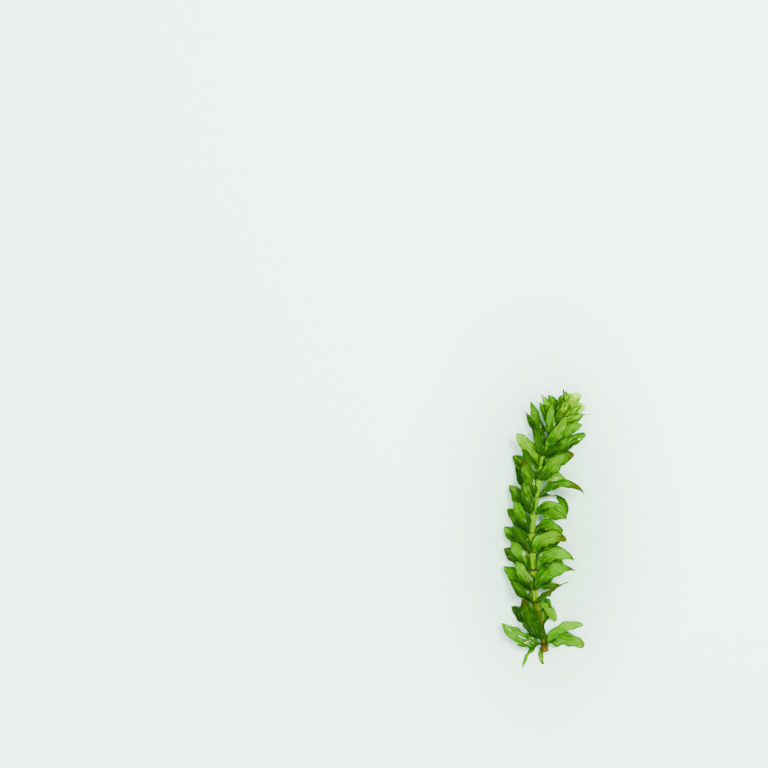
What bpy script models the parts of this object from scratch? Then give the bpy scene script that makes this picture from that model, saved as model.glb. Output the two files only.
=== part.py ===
"""Brazilian waterweed: one cut sprig, lying pressed flat on a surface.

A stem with whorls of thin leaves and a crowded growing tip. The tables and the working out are in
millimetres. MM turns them into the scene's metres where the meshes are made. +Y runs from the cut end
to the tip, +X is the right side of the sprig seen from above, and the surface is at z = 0.
"""
import itertools
import math
import string
from collections import namedtuple

import bmesh
import bpy
from mathutils import Vector
from mathutils.bvhtree import BVHTree

MM = 0.001
UP = Vector((0, 0, 1))

# The stem's centre line, from the cut end to the growing point
STEM_ROUTE = [
    (-0.4, -43.1, 2.3),
    (-1.3, -37.5, 2.9),
    (-3.0, -31.2, 3.4),
    (-4.2, -23.1, 3.9),
    (-5.1, -11.0, 4.3),
    (-5.2, -4.0, 4.4),
    (-4.9, 3.5, 4.4),
    (-4.1, 9.5, 4.4),
    (-2.9, 16.5, 4.5),
    (-1.7, 23.0, 4.7),
    (-0.6, 28.0, 4.8),
    (1.2, 32.0, 4.9),
    (3.4, 36.8, 5.0),
    (5.2, 40.8, 5.2),
    (6.6, 43.4, 5.4),
    (7.6, 45.2, 5.6),
]
ROUTE_STEPS = 12

STEM_RADIUS_CUT = 1.2
STEM_RADIUS_OLD = 1.3
STEM_RADIUS_YOUNG = 1.15
STEM_RADIUS_TIP = 0.7
OLD_FROM = 12.0
OLD_UNTIL = 45.0
NODE_SWELL = 1.14
NODE_HALF = 0.55

# Distances along the stem from the cut end to each whorl
WHORLS = [2.8, 9.2, 18.0, 22.6, 29.3, 35.6, 42.3, 49.0, 55.0, 61.1, 66.1, 69.6, 73.2, 76.9]
TIP_WHORLS = [80.3, 82.9, 85.2, 87.2, 88.8]
TIP_START = 78.4

THICK = 0.24
# The gap left all round a leaf, and the one between the stem and a leaf's seat
GAP = 0.2
SEAT_GAP = 0.28
LEAF_ROWS = 8
TIP_ROWS = 5
TIP_CORE_STEPS = 8
# The young leaves start inside the stem, at this share of its radius, and so join it
TIP_SEAT_DEPTH = 0.8
# How much the sprig is pressed flat: a leaf heads off at its seat's angle, with this share of its rise
PRESSED = 0.34
TIP_PRESSED = 0.7
# A leaf has turned to lie flat once it is this many widths out from the stem
FLAT_AFTER = 0.6
KEEL = 0.16
# A blade's outline: its share of full width at the seat and the tip, and where it is at its widest
SEAT_WIDTH = 0.42
TIP_WIDTH = 0.07
WIDE_FROM = 0.18
WIDE_TO = 0.55
# How far from the surface, and from the height that the sprig is pressed to, a blade starts to bend
FLOOR_BLEND = 0.25
CEILING_BLEND = 0.7
PRESSED_HEIGHT = 10.0

# seat: angle round the stem, 0 on the right, 90 on top, 180 on the left. spread: the angle off the stem
# at which a leaf starts. recurve: how far it bends back from there to its tip. flat: 1 turns its face up.
# point: 0.5 ends the blade bluntly, 1.5 draws it out. ahead: how far past its whorl's ring it starts.
Leaf = namedtuple("Leaf", "seat length width spread recurve flat point ahead", defaults=[0.0])

# The leaves that stand apart, whorl by whorl from the cut end
LEAVES = {
    0: [
        Leaf(38, 15.6, 3.2, 27, 82, 0.9, 0.5),
        Leaf(-30, 13.8, 4.2, 74, 66, 1.0, 0.5),
        Leaf(186, 15.6, 4.6, 74, -44, 1.0, 1.0),
        Leaf(130, 16.4, 5.8, 34, -40, 0.5, 0.7, 2.0),
        Leaf(238, 13.4, 2.0, 108, 52, 0.1, 1.2),
        Leaf(258, 7.6, 1.5, 126, 70, 1.0, 0.6, -1.3),
    ],
    1: [
        Leaf(150, 11.6, 4.2, 6, 6, 1.0, 0.8),
        Leaf(222, 11.4, 4.2, 24, 10, 1.0, 0.9),
        Leaf(264, 8.6, 3.2, 10, 6, 1.0, 0.9),
    ],
    2: [
        Leaf(-35, 9.6, 2.9, 136, 26, 1.0, 0.5),
        Leaf(2, 5.4, 2.0, 60, 150, 0.6, 0.5),
        Leaf(46, 16.0, 2.6, 52, 24, 0.4, 1.4),
        Leaf(165, 9.8, 3.6, 20, 6, 0.9, 0.8),
        Leaf(230, 11.2, 4.2, 32, 8, 1.0, 1.0),
    ],
    3: [
        Leaf(48, 17.2, 5.0, 20, 96, 1.0, 1.2),
        Leaf(-22, 9.0, 4.2, 84, 10, 1.0, 1.0),
        Leaf(130, 11.6, 4.4, 18, 4, 0.9, 0.9),
        Leaf(200, 12.0, 4.6, 32, 8, 1.0, 1.0),
    ],
    4: [
        Leaf(26, 16.0, 4.6, 16, 126, 1.0, 1.3),
        Leaf(-50, 12.0, 4.8, 56, 66, 1.0, 1.0),
        Leaf(155, 11.8, 4.4, 20, 4, 1.0, 0.7),
        Leaf(230, 12.0, 4.6, 38, 14, 1.0, 1.0),
    ],
    5: [
        Leaf(48, 13.9, 5.0, 12, 120, 1.0, 0.6),
        Leaf(-20, 9.8, 4.8, 80, 16, 1.0, 1.0),
        Leaf(130, 11.2, 4.4, 16, 8, 0.9, 1.1),
        Leaf(200, 12.0, 4.6, 36, 4, 1.0, 0.8),
    ],
    6: [
        Leaf(28, 13.8, 4.2, 20, 206, 0.8, 0.6),
        Leaf(-50, 11.0, 4.8, 80, 14, 1.0, 0.8),
        Leaf(155, 12.0, 4.4, 20, 12, 0.9, 0.8),
        Leaf(230, 11.8, 4.4, 38, 8, 1.0, 1.0),
    ],
    7: [
        Leaf(48, 14.8, 4.4, 16, 156, 1.0, 1.3),
        Leaf(-20, 11.2, 5.0, 54, 20, 1.0, 0.9),
        Leaf(130, 11.4, 4.2, 18, 4, 0.9, 0.7),
        Leaf(202, 12.0, 4.6, 32, 10, 1.0, 1.0),
    ],
    8: [
        Leaf(26, 18.6, 4.0, 12, 118, 0.8, 1.4),
        Leaf(-20, 15.0, 3.2, 52, 126, 0.15, 1.0),
        Leaf(138, 13.2, 4.0, 20, 0, 0.9, 0.9),
        Leaf(230, 12.4, 4.6, 36, 8, 1.0, 1.0),
    ],
    9: [
        Leaf(50, 13.2, 4.8, 26, 10, 1.0, 1.0),
        Leaf(-20, 8.6, 4.4, 70, 26, 1.0, 1.2),
        Leaf(150, 11.4, 4.2, 20, 4, 1.0, 0.9),
        Leaf(205, 11.8, 4.6, 34, 6, 1.0, 1.0),
    ],
    10: [
        Leaf(26, 12.2, 4.6, 24, 12, 1.0, 0.8),
        Leaf(170, 13.2, 4.4, 32, 14, 1.0, 0.8),
        Leaf(-50, 12.2, 4.6, 50, 20, 1.0, 1.0),
        Leaf(236, 11.6, 3.8, 50, 20, 1.0, 1.0),
    ],
    11: [
        Leaf(44, 12.8, 4.2, 34, -36, 1.0, 0.9),
        Leaf(-20, 12.0, 4.2, 44, 6, 1.0, 0.9),
        Leaf(116, 9.8, 3.0, 30, 2, 0.9, 0.9),
    ],
    12: [
        Leaf(8, 13.2, 3.6, 46, -26, 0.8, 0.6),
        Leaf(172, 15.6, 3.2, 34, 10, 0.8, 1.1),
        Leaf(206, 13.2, 3.0, 48, 12, 1.0, 1.1),
        Leaf(75, 12.8, 4.0, 22, -6, 1.0, 0.8),
    ],
    13: [
        Leaf(118, 11.6, 3.6, 30, -8, 1.0, 0.9),
        Leaf(62, 10.6, 3.6, 26, -6, 1.0, 0.8),
        Leaf(-50, 11.6, 3.6, 34, 10, 1.0, 0.9),
    ],
}

# The young leaves of the growing tip
TIP_LEAVES = {
    0: [
        Leaf(84, 9.4, 3.8, 10, 6, 0.8, 0.7),
        Leaf(140, 9.2, 3.0, 46, 4, 0.8, 1.0),
        Leaf(176, 9.8, 2.8, 52, 6, 0.8, 1.1),
        Leaf(20, 10.6, 3.4, 34, 6, 0.7, 0.9),
        Leaf(-70, 10.6, 3.6, 30, 20, 0.8, 0.9),
    ],
    1: [
        Leaf(98, 9.6, 4.0, 14, -4, 0.9, 0.5),
        Leaf(40, 9.8, 3.4, 30, 4, 0.7, 0.8),
        Leaf(-12, 11.4, 2.0, 40, 28, 0.1, 1.3),
        Leaf(166, 10.8, 2.4, 50, 10, 0.8, 1.2),
        Leaf(-100, 9.8, 3.4, 20, 20, 0.8, 0.9),
    ],
    2: [
        Leaf(60, 10.4, 4.2, 18, 0, 0.9, 0.6),
        Leaf(20, 8.6, 3.8, 42, -4, 0.8, 0.6),
        Leaf(120, 7.6, 3.0, 30, 0, 0.8, 0.8),
        Leaf(200, 8.0, 2.8, 44, 20, 0.7, 0.9),
        Leaf(-60, 8.6, 3.2, 34, 20, 0.7, 0.9),
    ],
    3: [
        Leaf(130, 7.8, 1.4, 30, 0, 0.1, 1.2),
        Leaf(90, 6.4, 3.2, 14, -10, 0.6, 0.6),
        Leaf(40, 6.8, 3.0, 26, -10, 0.6, 0.6),
        Leaf(-30, 6.6, 2.8, 30, -10, 0.5, 0.7),
        Leaf(-110, 6.4, 2.8, 30, -10, 0.5, 0.7),
    ],
    4: [
        Leaf(160, 5.0, 2.4, 26, -20, 0.3, 0.6),
        Leaf(70, 4.8, 2.6, 20, -20, 0.3, 0.5),
        Leaf(-10, 5.0, 2.4, 26, -20, 0.3, 0.6),
        Leaf(-100, 4.8, 2.4, 24, -20, 0.3, 0.6),
    ],
}

# Small changes tried on a leaf, nearest first, until it is clear of the ones already placed
TRY_SEATS = range(-8, 9)
TRY_SPREADS = range(-4, 5)
TRY_RECURVES = range(-3, 4)
TRY_SEAT = 5.0
TRY_SPREAD = 5.0
TRY_RECURVE = 12.0
TRY_SHORTER = 0.9
TRY_LENGTHS = 5
# The corners and the steps of the tube that stands for the stem in that search
STEM_SIDES = 12
STEM_STEPS = 140
# Corners of the tip's core closer than this are made one
WELD = 0.001

LEAF_COLOUR = (0.09, 0.29, 0.008, 1)
STEM_COLOUR = (0.25, 0.45, 0.02, 1)
TIP_COLOUR = (0.36, 0.6, 0.02, 1)
ROUGHNESS = 0.35


def smoothstep(value):
    value = min(max(value, 0.0), 1.0)
    return value * value * (3 - 2 * value)


def catmull_rom(before, start, end, after, share):
    """A point between start and end on the smooth curve through all four."""
    square = share * share
    cube = square * share
    return 0.5 * (
        2 * start
        + (end - before) * share
        + (2 * before - 5 * start + 4 * end - after) * square
        + (3 * start - before - 3 * end + after) * cube
    )


def smooth_route():
    """The stem's centre line as close points, each with its distance from the cut end."""
    knots = [Vector(point) for point in STEM_ROUTE]
    knots = [2 * knots[0] - knots[1], *knots, 2 * knots[-1] - knots[-2]]
    points = []
    for index in range(1, len(knots) - 2):
        for step in range(ROUTE_STEPS):
            points.append(catmull_rom(*knots[index - 1:index + 3], step / ROUTE_STEPS))
    points.append(knots[-2])
    distances = [0.0]
    for last, point in zip(points, points[1:]):
        distances.append(distances[-1] + (point - last).length)
    return points, distances


ROUTE_POINTS, ROUTE_DISTANCES = smooth_route()
STEM_LENGTH = ROUTE_DISTANCES[-1]


def stem_at(distance):
    """The stem's centre and direction at a distance from the cut end."""
    index = 0
    while index < len(ROUTE_DISTANCES) - 2 and ROUTE_DISTANCES[index + 1] < distance:
        index += 1
    start, end = ROUTE_POINTS[index], ROUTE_POINTS[index + 1]
    length = ROUTE_DISTANCES[index + 1] - ROUTE_DISTANCES[index]
    share = (distance - ROUTE_DISTANCES[index]) / length
    return start.lerp(end, share), (end - start).normalized()


def stem_radius(distance):
    """Full along the old stem, narrower toward the tip, with a low ring at each whorl."""
    radius = STEM_RADIUS_CUT + (STEM_RADIUS_OLD - STEM_RADIUS_CUT) * smoothstep(distance / OLD_FROM)
    young = smoothstep((distance - OLD_UNTIL) / (TIP_START - OLD_UNTIL))
    radius += (STEM_RADIUS_YOUNG - STEM_RADIUS_OLD) * young
    tip = smoothstep((distance - TIP_START) / (STEM_LENGTH - TIP_START))
    radius += (STEM_RADIUS_TIP - STEM_RADIUS_YOUNG) * tip
    nearest = min(abs(distance - whorl) for whorl in WHORLS)
    return radius * (1 + (NODE_SWELL - 1) * smoothstep(1 - nearest / (2 * NODE_HALF)))


def stem_axes(distance):
    """The centre, the direction along the stem, the direction to its right, and the one up from it."""
    centre, along = stem_at(distance)
    right = along.cross(UP).normalized()
    return centre, along, right, right.cross(along)


def leaf_width(leaf, share):
    """Half the blade's width: narrow at the seat, widest before the middle, pointed at the tip."""
    base = SEAT_WIDTH + (1 - SEAT_WIDTH) * math.sin(min(share / WIDE_FROM, 1.0) * math.pi / 2)
    end = max((share - WIDE_TO) / (1 - WIDE_TO), 0.0)
    taper = (1 - end * end) ** leaf.point
    return leaf.width / 2 * (TIP_WIDTH + (1 - TIP_WIDTH) * base * taper)


def softly_above(height, limit, blend):
    """The height, raised smoothly where it comes near the limit or under it."""
    over = (height - limit) / blend
    return limit + blend * (max(over, 0.0) + math.log1p(math.exp(-abs(over))))


def pressed_point(point):
    """The point, kept between the surface that the sprig lies on and the height it is pressed to."""
    height = softly_above(point.z, THICK / 2, FLOOR_BLEND)
    height = -softly_above(-height, -PRESSED_HEIGHT, CEILING_BLEND)
    return Vector((point.x, point.y, height))


def leaf_rows(leaf, distance, rows, start, pressed):
    """The midrib as rows of (centre, side, face, half width), from the stem out to the leaf's tip."""
    centre, along, right, rise = stem_axes(distance)
    seat = math.radians(leaf.seat)
    out = math.cos(seat) * right + math.sin(seat) * rise
    round_stem = math.cos(seat) * rise - math.sin(seat) * right
    heading = (math.cos(seat) * right + pressed * math.sin(seat) * rise).normalized()
    # which edge leads as the blade comes to lie flat: the other one for a leaf on the underside, and
    # for one that points back down the stem
    leading = 1 if (leaf.seat % 360 <= 180) == (leaf.spread <= 90) else -1
    point = centre + out * start
    step = leaf.length / (rows - 1)
    result = []
    for row in range(rows):
        share = row / (rows - 1)
        angle = math.radians(leaf.spread + leaf.recurve * share)
        ahead = math.sin(angle) * heading + math.cos(angle) * along
        flat_side = UP.cross(ahead) * leading
        reach = (point - centre - out * start).dot(heading)
        turn = leaf.flat * smoothstep(reach / (FLAT_AFTER * leaf.width))
        side = round_stem.lerp(flat_side.normalized(), turn)
        side = (side - ahead * side.dot(ahead)).normalized()
        half = leaf_width(leaf, share)
        result.append((point.copy(), side, side.cross(ahead), half))
        middle = math.radians(leaf.spread + leaf.recurve * (share + 0.5 / (rows - 1)))
        point += step * (math.sin(middle) * heading + math.cos(middle) * along)
    return result


def leaf_point(row, across):
    """A point of the blade: across is -1 at one edge, 0 on the midrib and 1 at the other edge."""
    centre, side, face, half = row
    point = centre + side * (half * across) + face * (KEEL * half * abs(across))
    return pressed_point(point)


def padded_shell(rows, pad):
    """The blade as a closed strip, this much thicker all round: vertices and faces."""
    verts = []
    for index, (centre, side, face, half) in enumerate(rows):
        wide = (centre, side, face, half + pad)
        for offset in (-THICK / 2 - pad, THICK / 2 + pad):
            for across in (-1, 0, 1):
                verts.append(leaf_point(wide, across) + face * offset)
    faces = []
    for index in range(len(rows) - 1):
        low, high = 6 * index, 6 * index + 6
        ring = (0, 1, 2, 5, 4, 3)
        for first, second in zip(ring, ring[1:] + ring[:1]):
            faces.append((low + first, low + second, high + second, high + first))
    for end in (0, 6 * (len(rows) - 1)):
        faces.append((end, end + 1, end + 4, end + 3))
        faces.append((end + 1, end + 2, end + 5, end + 4))
    return verts, faces


def padded_stem(pad):
    """The stem as a closed tube, this much thicker: vertices and faces."""
    verts = []
    for step in range(STEM_STEPS + 1):
        distance = STEM_LENGTH * step / STEM_STEPS
        centre, _, right, rise = stem_axes(distance)
        for side in range(STEM_SIDES):
            angle = 2 * math.pi * side / STEM_SIDES
            out = math.cos(angle) * right + math.sin(angle) * rise
            verts.append(centre + out * (stem_radius(distance) + pad))
    faces = []
    for step in range(STEM_STEPS):
        low = STEM_SIDES * step
        high = low + STEM_SIDES
        for side in range(STEM_SIDES):
            following = (side + 1) % STEM_SIDES
            faces.append((low + side, low + following, high + following, high + side))
    return verts, faces


def tries():
    """The small changes to a leaf's seat, spread and recurve, smallest first."""
    steps = itertools.product(TRY_SEATS, TRY_SPREADS, TRY_RECURVES)
    return sorted(steps, key=lambda step: (step[0] ** 2 + step[1] ** 2 + step[2] ** 2, step))


TRIES = tries()


def place_leaf(leaf, distance, rows, start, pressed, placed, pad):
    """The leaf, changed as little as it takes to be clear of the ones already placed."""
    for shorter in range(TRY_LENGTHS):
        for seat, spread, recurve in TRIES:
            trial = leaf._replace(
                seat=leaf.seat + seat * TRY_SEAT,
                spread=leaf.spread + spread * TRY_SPREAD,
                recurve=leaf.recurve + recurve * TRY_RECURVE,
                length=leaf.length * TRY_SHORTER ** shorter,
            )
            shape = leaf_rows(trial, distance, rows, start, pressed)
            tree = BVHTree.FromPolygons(*padded_shell(shape, pad))
            if not any(tree.overlap(other) for other in placed):
                placed.append(tree)
                return trial
    raise RuntimeError(f"no room for a leaf at {distance}: {leaf}")


def new_material(name, colour):
    material = bpy.data.materials.new(name)
    material.use_nodes = True
    shader = material.node_tree.nodes["Principled BSDF"]
    shader.inputs["Base Color"].default_value = colour
    shader.inputs["Roughness"].default_value = ROUGHNESS
    return material


def add_object(name, data, collection, parent, material):
    piece = bpy.data.objects.new(name, data)
    collection.objects.link(piece)
    piece.parent = parent
    data.materials.append(material)
    return piece


def blade_mesh(name, rows):
    """One open sheet: a grid whose rows follow the midrib."""
    grid = bmesh.new()
    bmesh.ops.create_grid(grid, x_segments=2, y_segments=len(rows) - 1, size=1)
    for vert in grid.verts:
        row = round((vert.co.y + 1) / 2 * (len(rows) - 1))
        vert.co = leaf_point(rows[row], round(vert.co.x)) * MM
    mesh = bpy.data.meshes.new(name)
    grid.to_mesh(mesh)
    grid.free()
    mesh.shade_smooth()
    return mesh


def make_leaf(name, rows, collection, parent, material):
    leaf = add_object(name, blade_mesh(name, rows), collection, parent, material)
    solid = leaf.modifiers.new("thickness", "SOLIDIFY")
    solid.thickness = THICK * MM
    solid.offset = 0
    return leaf


def tube_curve(name, distances):
    """The stem between the first and last of these distances, with its radius at each."""
    curve = bpy.data.curves.new(name, "CURVE")
    curve.dimensions = "3D"
    curve.bevel_depth = MM
    curve.bevel_resolution = 2
    curve.use_fill_caps = True
    spline = curve.splines.new("POLY")
    spline.points.add(len(distances) - 1)
    for point, distance in zip(spline.points, distances):
        centre, _ = stem_at(distance)
        point.co = (*(centre * MM), 1)
        point.radius = stem_radius(distance)
    return curve


def stem_distances():
    """The cut end, both sides and the middle of each whorl's ring, and the far end of the lower stem."""
    distances = [0.0]
    for whorl in WHORLS:
        distances += [whorl - NODE_HALF, whorl, whorl + NODE_HALF]
    distances.append(TIP_START - GAP)
    return distances


def make_growing_tip(shapes, collection, cutters, parent, material):
    """The last of the stem with its young leaves, joined in one solid."""
    step = (STEM_LENGTH - TIP_START) / TIP_CORE_STEPS
    distances = [TIP_START + step * index for index in range(TIP_CORE_STEPS + 1)]
    guide = add_object("tip_core", tube_curve("tip_core", distances), cutters, parent, material)
    bpy.context.view_layer.update()
    evaluated = guide.evaluated_get(bpy.context.evaluated_depsgraph_get())
    mesh = bpy.data.meshes.new_from_object(evaluated)
    welded = bmesh.new()
    welded.from_mesh(mesh)
    bmesh.ops.remove_doubles(welded, verts=welded.verts, dist=WELD * MM)
    welded.to_mesh(mesh)
    welded.free()
    bpy.data.objects.remove(guide)
    tip = add_object("growing_tip", mesh, collection, parent, material)
    for number, rows in enumerate(shapes):
        leaf = make_leaf(f"young_leaf_{number:02d}", rows, cutters, parent, material)
        leaf.hide_render = True
        leaf.display_type = "WIRE"
        union = tip.modifiers.new(leaf.name, "BOOLEAN")
        union.operation = "UNION"
        union.solver = "MANIFOLD"
        union.object = leaf
    return tip


def base_centre(collection):
    """The middle of the underside of the box around all of a collection's pieces."""
    bpy.context.view_layer.update()
    depsgraph = bpy.context.evaluated_depsgraph_get()
    points = []
    for piece in collection.objects:
        if piece.type != "EMPTY":
            evaluated = piece.evaluated_get(depsgraph)
            mesh = evaluated.to_mesh()
            points += [evaluated.matrix_world @ vert.co for vert in mesh.vertices]
            evaluated.to_mesh_clear()
    low = Vector(min(point[axis] for point in points) for axis in range(3))
    high = Vector(max(point[axis] for point in points) for axis in range(3))
    return Vector(((low.x + high.x) / 2, (low.y + high.y) / 2, low.z))


def main():
    for leftover in list(bpy.data.objects):
        bpy.data.objects.remove(leftover)
    collection = bpy.data.collections.new("brazilian_waterweed")
    cutters = bpy.data.collections.new("cutters")
    for group in (collection, cutters):
        bpy.context.scene.collection.children.link(group)
    root = bpy.data.objects.new("root", None)
    collection.objects.link(root)

    leaf_green = new_material("leaf", LEAF_COLOUR)
    stem_green = new_material("stem", STEM_COLOUR)
    tip_green = new_material("young_leaf", TIP_COLOUR)

    add_object("stem", tube_curve("stem", stem_distances()), collection, root, stem_green)
    shapes = []
    for whorl, leaves in TIP_LEAVES.items():
        distance = TIP_WHORLS[whorl]
        start = TIP_SEAT_DEPTH * stem_radius(distance)
        shapes += [leaf_rows(leaf, distance, TIP_ROWS, start, TIP_PRESSED) for leaf in leaves]
    make_growing_tip(shapes, collection, cutters, root, tip_green)

    pad = GAP / 2
    placed = [BVHTree.FromPolygons(*padded_stem(pad))]
    placed += [BVHTree.FromPolygons(*padded_shell(rows, pad)) for rows in shapes]
    for whorl, leaves in reversed(LEAVES.items()):
        for letter, leaf in zip(string.ascii_lowercase, leaves):
            distance = WHORLS[whorl] + leaf.ahead
            start = stem_radius(distance) + THICK / 2 + SEAT_GAP
            found = place_leaf(leaf, distance, LEAF_ROWS, start, PRESSED, placed, pad)
            rows = leaf_rows(found, distance, LEAF_ROWS, start, PRESSED)
            make_leaf(f"leaf_{whorl + 1:02d}_{letter}", rows, collection, root, leaf_green)

    root.location = -base_centre(collection)


main()
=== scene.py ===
"""Brazilian waterweed: the looks of one cut sprig that lies pressed flat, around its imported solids.

Each leaf is a thin blade in the place of its solid: creased along its midrib, wavy and finely toothed
along its edges, and grown into the ring of the stem that it comes from. The tables and the working out
are in millimetres, in the part's own layout. to_frame turns them into the frame's metres.
"""

import itertools
import math
import random
import string
from collections import namedtuple

import bpy
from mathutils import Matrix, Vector
from mathutils.bvhtree import BVHTree


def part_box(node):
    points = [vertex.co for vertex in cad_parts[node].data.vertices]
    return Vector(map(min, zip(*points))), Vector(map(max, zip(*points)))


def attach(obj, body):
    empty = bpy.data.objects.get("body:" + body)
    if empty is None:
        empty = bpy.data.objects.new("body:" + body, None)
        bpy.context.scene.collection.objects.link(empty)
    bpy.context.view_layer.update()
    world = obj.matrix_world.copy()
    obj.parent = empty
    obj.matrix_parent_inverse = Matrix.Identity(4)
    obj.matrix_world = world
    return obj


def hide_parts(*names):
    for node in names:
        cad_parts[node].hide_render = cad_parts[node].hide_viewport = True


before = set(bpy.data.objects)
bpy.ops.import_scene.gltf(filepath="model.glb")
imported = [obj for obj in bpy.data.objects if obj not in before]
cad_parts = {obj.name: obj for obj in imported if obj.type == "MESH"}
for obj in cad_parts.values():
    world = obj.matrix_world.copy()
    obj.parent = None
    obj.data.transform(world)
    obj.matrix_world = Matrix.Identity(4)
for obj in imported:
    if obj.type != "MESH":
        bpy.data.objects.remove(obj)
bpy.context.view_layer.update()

MM = 0.001
UP = Vector((0, 0, 1))

# First the layout of the solids, which the fine pieces follow

# The stem's centre line, from the cut end to the growing point
STEM_ROUTE = [
    (-0.4, -43.1, 2.3),
    (-1.3, -37.5, 2.9),
    (-3.0, -31.2, 3.4),
    (-4.2, -23.1, 3.9),
    (-5.1, -11.0, 4.3),
    (-5.2, -4.0, 4.4),
    (-4.9, 3.5, 4.4),
    (-4.1, 9.5, 4.4),
    (-2.9, 16.5, 4.5),
    (-1.7, 23.0, 4.7),
    (-0.6, 28.0, 4.8),
    (1.2, 32.0, 4.9),
    (3.4, 36.8, 5.0),
    (5.2, 40.8, 5.2),
    (6.6, 43.4, 5.4),
    (7.6, 45.2, 5.6),
]
ROUTE_STEPS = 12

# Its radius at the cut end, along the old stem between two distances, where the growing tip starts, and
# at the growing point
STEM_RADIUS_CUT = 1.2
STEM_RADIUS_OLD = 1.3
STEM_RADIUS_YOUNG = 1.15
STEM_RADIUS_TIP = 0.7
OLD_FROM = 12.0
OLD_UNTIL = 45.0
# The low ring at a whorl: how much wider than the stem it is, and half its length
NODE_SWELL = 1.14
NODE_HALF = 0.55

# Distances along the stem from the cut end to each whorl
WHORLS = [2.8, 9.2, 18.0, 22.6, 29.3, 35.6, 42.3, 49.0, 55.0, 61.1, 66.1, 69.6, 73.2, 76.9]
TIP_WHORLS = [80.3, 82.9, 85.2, 87.2, 88.8]
TIP_START = 78.4

# A solid leaf: its thickness, its rows of corners, those of a young leaf, and how far its edges stand up
# from its midrib, as a share of its half width
THICK = 0.24
LEAF_ROWS = 8
TIP_ROWS = 5
KEEL = 0.16
# The gap left all round a leaf, and the one between the stem and a leaf's seat
GAP = 0.2
SEAT_GAP = 0.28
# The young leaves start inside the stem, at this share of its radius, and so join it
TIP_SEAT_DEPTH = 0.8
# How much the sprig is pressed flat: a leaf heads off at its seat's angle, with this share of its rise
PRESSED = 0.34
TIP_PRESSED = 0.7
# A leaf has turned to lie flat once it is this many widths out from the stem
FLAT_AFTER = 0.6
# A blade's outline: its share of full width at the seat and the tip, and where it is at its widest
SEAT_WIDTH = 0.42
TIP_WIDTH = 0.07
WIDE_FROM = 0.18
WIDE_TO = 0.55
# How far from the surface, and from the height that the sprig is pressed to, a blade starts to bend
FLOOR_BLEND = 0.25
CEILING_BLEND = 0.7
PRESSED_HEIGHT = 10.0

# seat: angle round the stem, 0 on the right, 90 on top, 180 on the left. spread: the angle off the stem
# at which a leaf starts. recurve: how far it bends back from there to its tip. flat: 1 turns its face up.
# point: 0.5 ends the blade bluntly, 1.5 draws it out. ahead: how far past its whorl's ring it starts.
Leaf = namedtuple("Leaf", "seat length width spread recurve flat point ahead", defaults=[0.0])

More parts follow.
